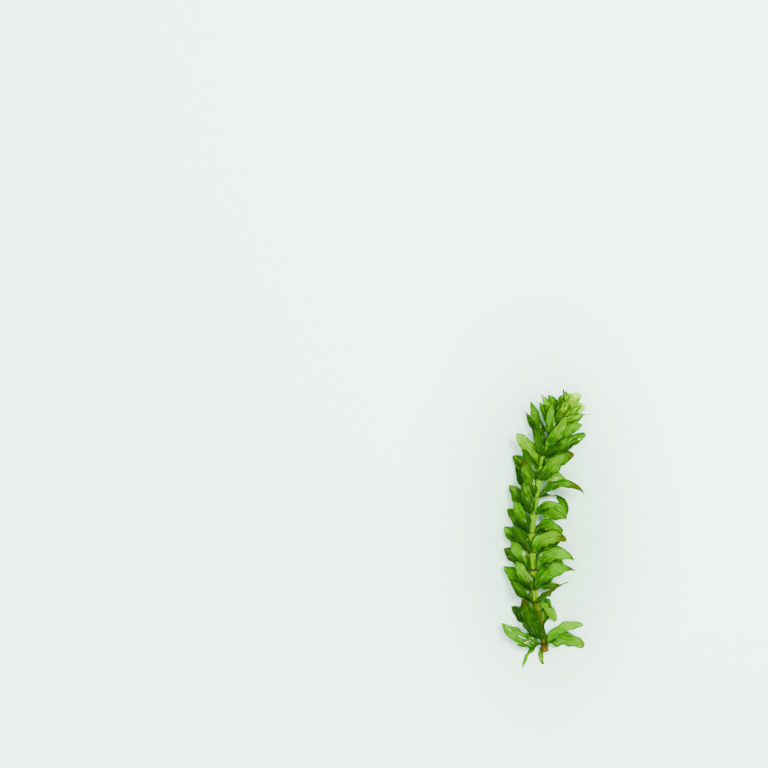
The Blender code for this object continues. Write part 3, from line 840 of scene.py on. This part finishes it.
# The colour of the painted highlight along the stem's right side
STEM_PAINTED_HIGHLIGHT = (0.07, 0.12, 0.0004, 1)
RING = (0.01, 0.007, 0.0002, 1)
CUT = (0.052, 0.021, 0.0004, 1)
STEM_SURFACE = {
    "Roughness": 0.35,
    "Specular IOR Level": 0.0,
    "Coat Weight": 0.08,
    "Coat Roughness": 0.12,
}
# The relief's strength and distance
STEM_BUMP = (0.5, 0.12)

# How each noise is stretched: the second axis runs mostly along the stem
STEM_STREAK_STRETCH = (2.6, 0.1, 2.6)
STEM_FINE_STRETCH = (7.0, 0.35, 7.0)
STEM_PATCH_STRETCH = (0.35, 0.35, 0.35)
DRIFT_STRETCH = (0.0, 0.12, 0.0)
# What changes along the stem, in millimetres from the cut end
TO_UPPER = (16.0, 50.0)
OLD_SHOWS = (34.0, 52.0, 1.0, 0.12)
RINGS_SHOW = (30.0, 50.0, 0.95, 0.5)
# The same for its two browns, where the patches add up to so many millimetres
WORN_BROWN = (19.0, 25.0, 0.92, 0.0)
CUT_BROWN = (5.7, 7.7, 1.0, 0.0)
PATCH_SHIFT = 9.0
# The light and the plain streaks
LIGHT_STREAKS = (0.4, 0.6, 0.0, 0.9)
PLAIN_STREAKS = (0.5, 0.7, 0.0, 0.5)
# The old stem's painted highlight, a pale band along its right side, and the dark line beside it, which
# drift as they run along it
DRIFT = 1.2
HIGHLIGHT_FROM = (0.8, 1.1)
HIGHLIGHT_STRENGTH = 0.75
LINE_AT = 0.72
LINE_FADE = (0.04, 0.2, 1.0, 0.0)
LINE_STRENGTH = 0.7


def stem_material():
    """Smooth, wet and streaked along its length, with a painted highlight along its right side, dark
    rings, and brown where it was cut.

    The attributes: place is the point in millimetres, down the distance from the cut end, sideways goes
    from -1 on the left side to 1 on the right, ring is 1 at a whorl, and cut is 1 on the cut face.
    """
    material, tree, shader = new_material("waterweed_stem", STEM_SURFACE)
    place = attribute(tree, "place").outputs["Vector"]
    down = attribute(tree, "down").outputs["Fac"]
    ring = attribute(tree, "ring").outputs["Fac"]
    cut = attribute(tree, "cut").outputs["Fac"]
    sideways = attribute(tree, "sideways").outputs["Fac"]

    streaks = cloudy(tree, place, STEM_STREAK_STRETCH)
    fine = cloudy(tree, place, STEM_FINE_STRETCH, SOFT_DETAIL)
    patches = cloudy(tree, place, STEM_PATCH_STRETCH)
    drift = calculate(tree, "MULTIPLY_ADD", cloudy(tree, place, DRIFT_STRETCH), DRIFT, sideways)
    old = ramp(tree, down, *OLD_SHOWS)
    worn = calculate(tree, "MULTIPLY_ADD", patches, PATCH_SHIFT, down)

    colour = blend(tree, ramp(tree, down, *TO_UPPER), STEM_LOWER, STEM_UPPER)
    colour = blend(tree, ramp(tree, streaks, *LIGHT_STREAKS), colour, STEM_LIGHT)
    colour = blend(tree, ramp(tree, fine, *PLAIN_STREAKS), colour, STEM_UPPER)
    # Painted highlight: a pale band down the right side of the old stem, where the light falls on it
    painted_highlight = product(tree, ramp(tree, drift, *HIGHLIGHT_FROM), product(tree, old, HIGHLIGHT_STRENGTH))
    colour = blend(tree, painted_highlight, colour, STEM_PAINTED_HIGHLIGHT)
    from_line = calculate(tree, "ABSOLUTE", calculate(tree, "SUBTRACT", drift, LINE_AT))
    line = product(tree, ramp(tree, from_line, *LINE_FADE), product(tree, old, LINE_STRENGTH))
    colour = blend(tree, line, colour, STEM_LINE)
    colour = blend(tree, ramp(tree, worn, *WORN_BROWN), colour, STEM_BROWN)
    colour = blend(tree, product(tree, ring, ramp(tree, down, *RINGS_SHOW)), colour, RING)
    near_cut = calculate(tree, "MAXIMUM", cut, ramp(tree, worn, *CUT_BROWN))
    colour = blend(tree, near_cut, colour, CUT)

    height = calculate(tree, "MULTIPLY_ADD", fine, FINE_RELIEF, streaks)
    feed(tree, shader.inputs["Base Color"], colour)
    feed(tree, shader.inputs["Normal"], bumped(tree, height, *STEM_BUMP))
    return material


# The pieces of the sprig


def to_mesh(name, verts, faces, numbers, vectors):
    """A smooth mesh whose vertices carry named numbers and vectors for its material."""
    mesh = bpy.data.meshes.new(name)
    mesh.from_pydata([to_frame(vert) for vert in verts], [], faces)
    for key, values in numbers.items():
        mesh.attributes.new(key, "FLOAT", "POINT").data.foreach_set("value", values)
    for key, values in vectors.items():
        flat = [number for vector in values for number in vector]
        mesh.attributes.new(key, "FLOAT_VECTOR", "POINT").data.foreach_set("vector", flat)
    mesh.shade_smooth()
    return mesh


def add_piece(name, mesh, material, node):
    """A piece of the sprig that stands for its solid."""
    piece = bpy.data.objects.new(name, mesh)
    bpy.context.scene.collection.objects.link(piece)
    mesh.materials.append(material)
    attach(piece, "root")
    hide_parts(node)


# One fine blade: its leaf, the stem's centre at its whorl, the direction from there to its seat, and
# what is drawn at random for it
Blade = namedtuple("Blade", "placed centre out creases curl twist number ceiling edges")


def draw_blade(placed):
    draw = random.Random(placed.name)
    centre, _, right, rise = stem_axes(placed.distance)
    seat = math.radians(placed.leaf.seat)
    out = math.cos(seat) * right + math.sin(seat) * rise
    creases = (KEEL * draw.uniform(*SEAT_CREASES), KEEL * draw.uniform(*TIP_CREASES))
    curl = TIP_CURL * draw.uniform(*CURLS)
    twist = draw.uniform(-BLADE_TWIST, BLADE_TWIST)
    number = draw.uniform(0, LEAF_NUMBERS)
    layer = LAYER * draw.uniform(-1, 1)
    ceiling = PRESSED_HEIGHT + layer - LAYER_DROP * max(placed.distance - TIP_START, 0.0)
    edges = [
        (draw.uniform(0, math.tau), draw.uniform(*WAVE_RATES), draw.uniform(*WAVE_SIZES))
        for _ in range(2)
    ]
    return Blade(placed, centre, out, creases, curl, twist, number, ceiling, edges)


def blade_rows(blade):
    """The leaf's rows at the fine spacing, begun inside the stem so that it grows out of its ring."""
    placed = blade.placed
    rows = leaf_rows(placed.leaf, placed.distance, BLADE_ROWS, placed.start, placed.pressed)
    inner = stem_radius(placed.distance) - SEAT_DEPTH
    _, side, face, half = rows[0]
    seats = []
    for step in range(SEAT_ROWS):
        reach = inner + (placed.start - inner) * (step / SEAT_ROWS)
        seats.append((blade.centre + blade.out * reach, side, face, half))
    return seats + rows


def row_share(index):
    """How far along the leaf a row of its blade is: 0 for the ones inside the stem's ring."""
    return max(index - SEAT_ROWS, 0) / (BLADE_ROWS - 1)


def fine_width(placed, share):
    """Half the fine blade's width: fuller at its seat, where the solid is kept narrow for room."""
    usual = (WIDER, placed.leaf.point, WIDE_TO, TIP_WIDTH)
    wider, point, taper_from, tip_width = OUTLINES.get(placed.name, usual)
    return wider * placed.leaf.width / 2 * outline(share, FINE_SEAT_WIDTH, point, taper_from, tip_width)


def clasped(blade, row, wide):
    """A point this far across the row, bent round the stem's axis."""
    place, side, _, _ = row
    reach = (place - blade.centre).dot(blade.out)
    angle = CLASP_ANGLE * math.tanh(wide / reach / CLASP_ANGLE)
    bent = blade.out * math.cos(angle) + side * math.sin(angle)
    return place - blade.out * reach + bent * reach


def blade_point(blade, row, index, across):
    """A point halfway through the blade, how far across it is in millimetres, and the way it faces."""
    place, side, face, _ = row
    share = row_share(index)
    half = fine_width(blade.placed, share)
    turn = blade.twist * share
    turned_side = side * math.cos(turn) + face * math.sin(turn)
    turned_face = face * math.cos(turn) - side * math.sin(turn)

    free = smoothstep(share * EDGE_RISE) * (1 - share * share)
    waves = math.tau * share * blade.placed.leaf.length
    phase, rate, size = blade.edges[0 if across < 0 else 1]
    wave = size * math.sin(phase + rate * waves / WAVE_LENGTH)
    droop = blade.curl * max(share - CURL_FROM, 0.0) ** 2 / (1 - CURL_FROM)
    lift = WAVE * free * wave * abs(across) ** WAVE_POWER - droop

    tooth = free * TOOTH * ((index % TOOTH_ROWS) / (TOOTH_ROWS - 1) - 0.5)
    wavy = 1 + OUTLINE_WAVE * free * math.sin(2 * phase + waves / OUTLINE_LENGTH)
    wide = half * across * wavy + tooth * across ** TOOTH_POWER
    crease = blade.creases[0] + (blade.creases[1] - blade.creases[0]) * share
    fold = math.sqrt(across * across + FOLD_SOFT) - math.sqrt(FOLD_SOFT)
    point = place + turned_side * wide + turned_face * (crease * half * fold + lift)

    clasp = 1 - smoothstep(share / CLASP_SHARE)
    if clasp > 0:
        point = point.lerp(clasped(blade, row, wide), clasp)
    return pressed_point(point, blade.ceiling), wide, turned_face


def blade_sides(half, share, across):
    """How far the upper and lower sides are from the blade's middle: a thin lens with a midrib."""
    lens = math.sqrt(max(1 - across * across, 0.0))
    body = BLADE_THICK / 2 * (THIN_EDGE + (1 - THIN_EDGE) * lens)
    rib = RIB_HEIGHT * math.exp(-((half * across / RIB_WIDTH) ** 2)) * (1 - RIB_FADE * share)
    return {1: body - RIB_ABOVE * rib, -1: -body - (1 - RIB_ABOVE) * rib}


def blade_mesh(placed, tint, browned):
    """One thin closed blade: creased, ribbed, wavy, finely toothed, and clasping the stem."""
    blade = draw_blade(placed)
    rows = blade_rows(blade)
    last = len(rows) - 1
    verts = []
    places = []
    shares = []
    acrosses = []
    index_of = {}
    for index, row in enumerate(rows):
        share = row_share(index)
        half = fine_width(placed, share)
        for column in range(BLADE_COLUMNS):
            across = (column - MIDDLE_COLUMN) / MIDDLE_COLUMN
            point, wide, face = blade_point(blade, row, index, across)
            at_edge = column in (0, BLADE_COLUMNS - 1) or index in (0, last)
            sides = {0: 0.0} if at_edge else blade_sides(half, share, across)
            for layer, offset in sides.items():
                index_of[index, column, layer] = len(verts)
                verts.append(point + face * offset)
                places.append((wide, share * placed.leaf.length, blade.number))
                shares.append(share)
                acrosses.append(across)
            if at_edge:
                index_of[index, column, 1] = index_of[index, column, 0]
                index_of[index, column, -1] = index_of[index, column, 0]
    faces = []
    for index in range(last):
        for column in range(BLADE_COLUMNS - 1):
            low = [(index, column), (index, column + 1)]
            corners = low + [(index + 1, column + 1), (index + 1, column)]
            faces.append([index_of[*corner, 1] for corner in corners])
            faces.append([index_of[*corner, -1] for corner in reversed(corners)])
    numbers = {
        "along": shares,
        "across": acrosses,
        "tint": [tint] * len(verts),
        "browned": [browned] * len(verts),
    }
    return to_mesh(placed.name, verts, faces, numbers, {"blade": places})


def usual_look(placed, light):
    """How light a leaf is that doesn't stand out, and how far it has browned at the tip."""
    draw = random.Random("look " + placed.name)
    # Leaves seated on the left get painted shade, as though the light came from the right
    on_left = 90 < placed.leaf.seat % 360 < 270
    shade = LEFT_PAINTED_SHADE if on_left else 0.0
    tender = YOUNG_LIGHTER * max(placed.distance - TIP_START, 0.0)
    tint = light - shade + tender + draw.uniform(-TINT_SPREAD, TINT_SPREAD)
    return tint, draw.choice(USUAL_BROWNING)


def add_blades(leaves, material, slot, light):
    """A blade for each leaf, in place of its own solid, or of the growing tip's for a young leaf."""
    for placed in leaves:
        tint, browned = LOOKS.get(placed.name, usual_look(placed, light))
        node = placed.name if slot == "leaf" else "growing_tip"
        name = placed.name.replace("leaf_", "blade_").replace("young_", "young_blade_")
        add_piece(name, blade_mesh(placed, tint, browned), material, node)


# The fine stem


def ring_points(distance, share, ahead):
    """A ring of the fine stem: at this share of its radius, moved ahead along it by some millimetres."""
    centre, along, right, rise = stem_axes(distance)
    ribbed = smoothstep((from_whorl(distance, WHORLS + TIP_WHORLS) - NODE_HALF) / NODE_HALF)
    points = []
    for side in range(FINE_SIDES):
        angle = math.tau * side / FINE_SIDES
        ribs = math.sin(STEADY_RIBS * angle) + math.sin(DRIFTING_RIBS * angle + distance * RIB_DRIFT)
        radius = stem_radius(distance) * (1 + STEM_RIB * ribs * ribbed) * share
        out = math.cos(angle) * right + math.sin(angle) * rise
        points.append(centre + along * ahead + out * radius)
    return points


def stem_mesh(name, first, last, first_cap, last_cap):
    """The stem as a closed tube between two distances, each end closed by rings of (share, ahead)."""
    steps = max(round((last - first) / STEM_STEP), 1)
    rings = [(first, share, ahead, 1.0) for share, ahead in first_cap]
    rings += [(first + (last - first) * step / steps, 1.0, 0.0, 0.0) for step in range(steps + 1)]
    rings += [(last, share, ahead, 0.0) for share, ahead in last_cap]
    verts = []
    around = [math.cos(math.tau * side / FINE_SIDES) for side in range(FINE_SIDES)]
    numbers = {"down": [], "ring": [], "cut": [], "sideways": []}
    for distance, share, ahead, cut in rings:
        from_ring = from_whorl(distance, WHORLS + TIP_WHORLS) - RING_HALF
        verts += ring_points(distance, share, ahead)
        numbers["down"] += [distance] * FINE_SIDES
        numbers["ring"] += [1 - smoothstep(from_ring / RING_FADE)] * FINE_SIDES
        numbers["cut"] += [cut] * FINE_SIDES
        numbers["sideways"] += around
    faces = []
    for index in range(len(rings) - 1):
        low = FINE_SIDES * index
        high = low + FINE_SIDES
        for side in range(FINE_SIDES):
            following = (side + 1) % FINE_SIDES
            faces.append((low + side, low + following, high + following, high + side))
    faces.append(tuple(reversed(range(FINE_SIDES))))
    faces.append(tuple(range(len(verts) - FINE_SIDES, len(verts))))
    return to_mesh(name, verts, faces, numbers, {"place": list(verts)})


leaf_green = leaf_material("waterweed_leaf", DARK_LEAF, MID_LEAF, LIGHT_LEAF)
young_green = leaf_material("waterweed_young_leaf", YOUNG_DARK, YOUNG_MID, PALE_LEAF)
stem_green = stem_material()

add_blades(old_leaves, leaf_green, "leaf", OLD_LIGHT)
add_blades(young_leaves, young_green, "young_leaf", YOUNG_LIGHT)
fine_stem = stem_mesh("fine_stem", 0.0, TIP_START, CUT_CAP, FLAT_CAP)
add_piece("fine_stem", fine_stem, stem_green, "stem")
tip_core = stem_mesh("tip_core", TIP_START, STEM_LENGTH, FLAT_CAP, ROUND_CAP)
add_piece("tip_core", tip_core, stem_green, "growing_tip")


# The stage: a pale surface with painted shade round the sprig, soft light from above, and the camera
# straight over the sprig

# Where the camera stands: the photograph's size in pixels, its millimetres per pixel, the pixel that is
# the layout's origin, the camera's height, and the height in the sprig at which that scale holds
PHOTO_SIZE = 768
PHOTO_SCALE = 0.35
SPRIG_PIXEL = (547.0, 529.0)
CAMERA_HEIGHT = 900.0
SPRIG_HEIGHT = 5.0
SENSOR = 36.0

# The surface, in metres, just under the lowest leaves. Near the sprig it is painted darker and greener, a
# painted shadow tinted like light through the leaves, over this many lengths to the metre across and
# along.
FLOOR_SIZE = 3.0
FLOOR_DROP = 0.0001
FLOOR_SURFACE = {"Roughness": 0.6}
# The painted shadow on the surface near the sprig, darker and greener than further out
FLOOR_PAINTED_SHADE = (0.25, 0.43, 0.42, 1)
FLOOR_FAR = (0.54, 0.75, 0.95, 1)
PAINTED_SHADE_SCALE = (28.0, 15.0, 0.0)
TO_FAR = (0.2, 1.5)

# The round lamps, all turned to the sprig's middle: places and sizes in metres, powers in watts
Lamp = namedtuple("Lamp", "name place size power")
LAMPS = [
    Lamp("key", (0.3, 0.3, 0.8), 0.35, 36.0),
    Lamp("glint", (-0.25, 0.35, 0.7), 0.03, 6.0),
    Lamp("low_glint", (-0.1, -0.3, 0.8), 0.03, 6.0),
]
LAMP_TINT = (1.0, 1.0, 0.72)
ROOM_STRENGTH = 2.9


def add_floor():
    bpy.ops.mesh.primitive_plane_add(size=FLOOR_SIZE, location=(0, 0, -FLOOR_DROP))
    floor = bpy.context.object
    floor.name = "floor"
    material, tree, shader = new_material("pale_surface", FLOOR_SURFACE)
    place = tree.nodes.new("ShaderNodeTexCoord").outputs["Object"]
    scaled = add_node(tree, "VectorMath", {0: place, 1: PAINTED_SHADE_SCALE}, operation="MULTIPLY").outputs[0]
    away = add_node(tree, "VectorMath", {0: scaled}, operation="LENGTH").outputs["Value"]
    # Painted shadow: darker and greener near the sprig, fading to the plain pale surface further out
    colour = blend(tree, ramp(tree, away, *TO_FAR), FLOOR_PAINTED_SHADE, FLOOR_FAR)
    feed(tree, shader.inputs["Base Color"], colour)
    floor.data.materials.append(material)


def add_lamp(lamp):
    light = bpy.data.lights.new(lamp.name, "AREA")
    light.shape = "DISK"
    light.size = lamp.size
    light.energy = lamp.power
    light.color = LAMP_TINT
    holder = bpy.data.objects.new(lamp.name, light)
    bpy.context.scene.collection.objects.link(holder)
    holder.location = lamp.place
    holder.rotation_euler = (-Vector(lamp.place)).to_track_quat("-Z", "Y").to_euler()


def add_room():
    """Soft light from all round."""
    world = bpy.data.worlds.new("soft_room")
    world.use_nodes = True
    background = world.node_tree.nodes["Background"]
    background.inputs["Color"].default_value = (*LAMP_TINT, 1)
    background.inputs["Strength"].default_value = ROOM_STRENGTH
    bpy.context.scene.world = world


def add_camera():
    data = bpy.data.cameras.new("camera")
    data.sensor_width = SENSOR
    data.lens = SENSOR * (CAMERA_HEIGHT - SPRIG_HEIGHT) / (PHOTO_SIZE * PHOTO_SCALE)
    camera = bpy.data.objects.new("camera", data)
    bpy.context.scene.collection.objects.link(camera)
    middle = Vector((
        (PHOTO_SIZE / 2 - SPRIG_PIXEL[0]) * PHOTO_SCALE,
        (SPRIG_PIXEL[1] - PHOTO_SIZE / 2) * PHOTO_SCALE,
        CAMERA_HEIGHT,
    ))
    camera.location = to_frame(middle)
    bpy.context.scene.camera = camera


add_floor()
for lamp in LAMPS:
    add_lamp(lamp)
add_room()
add_camera()
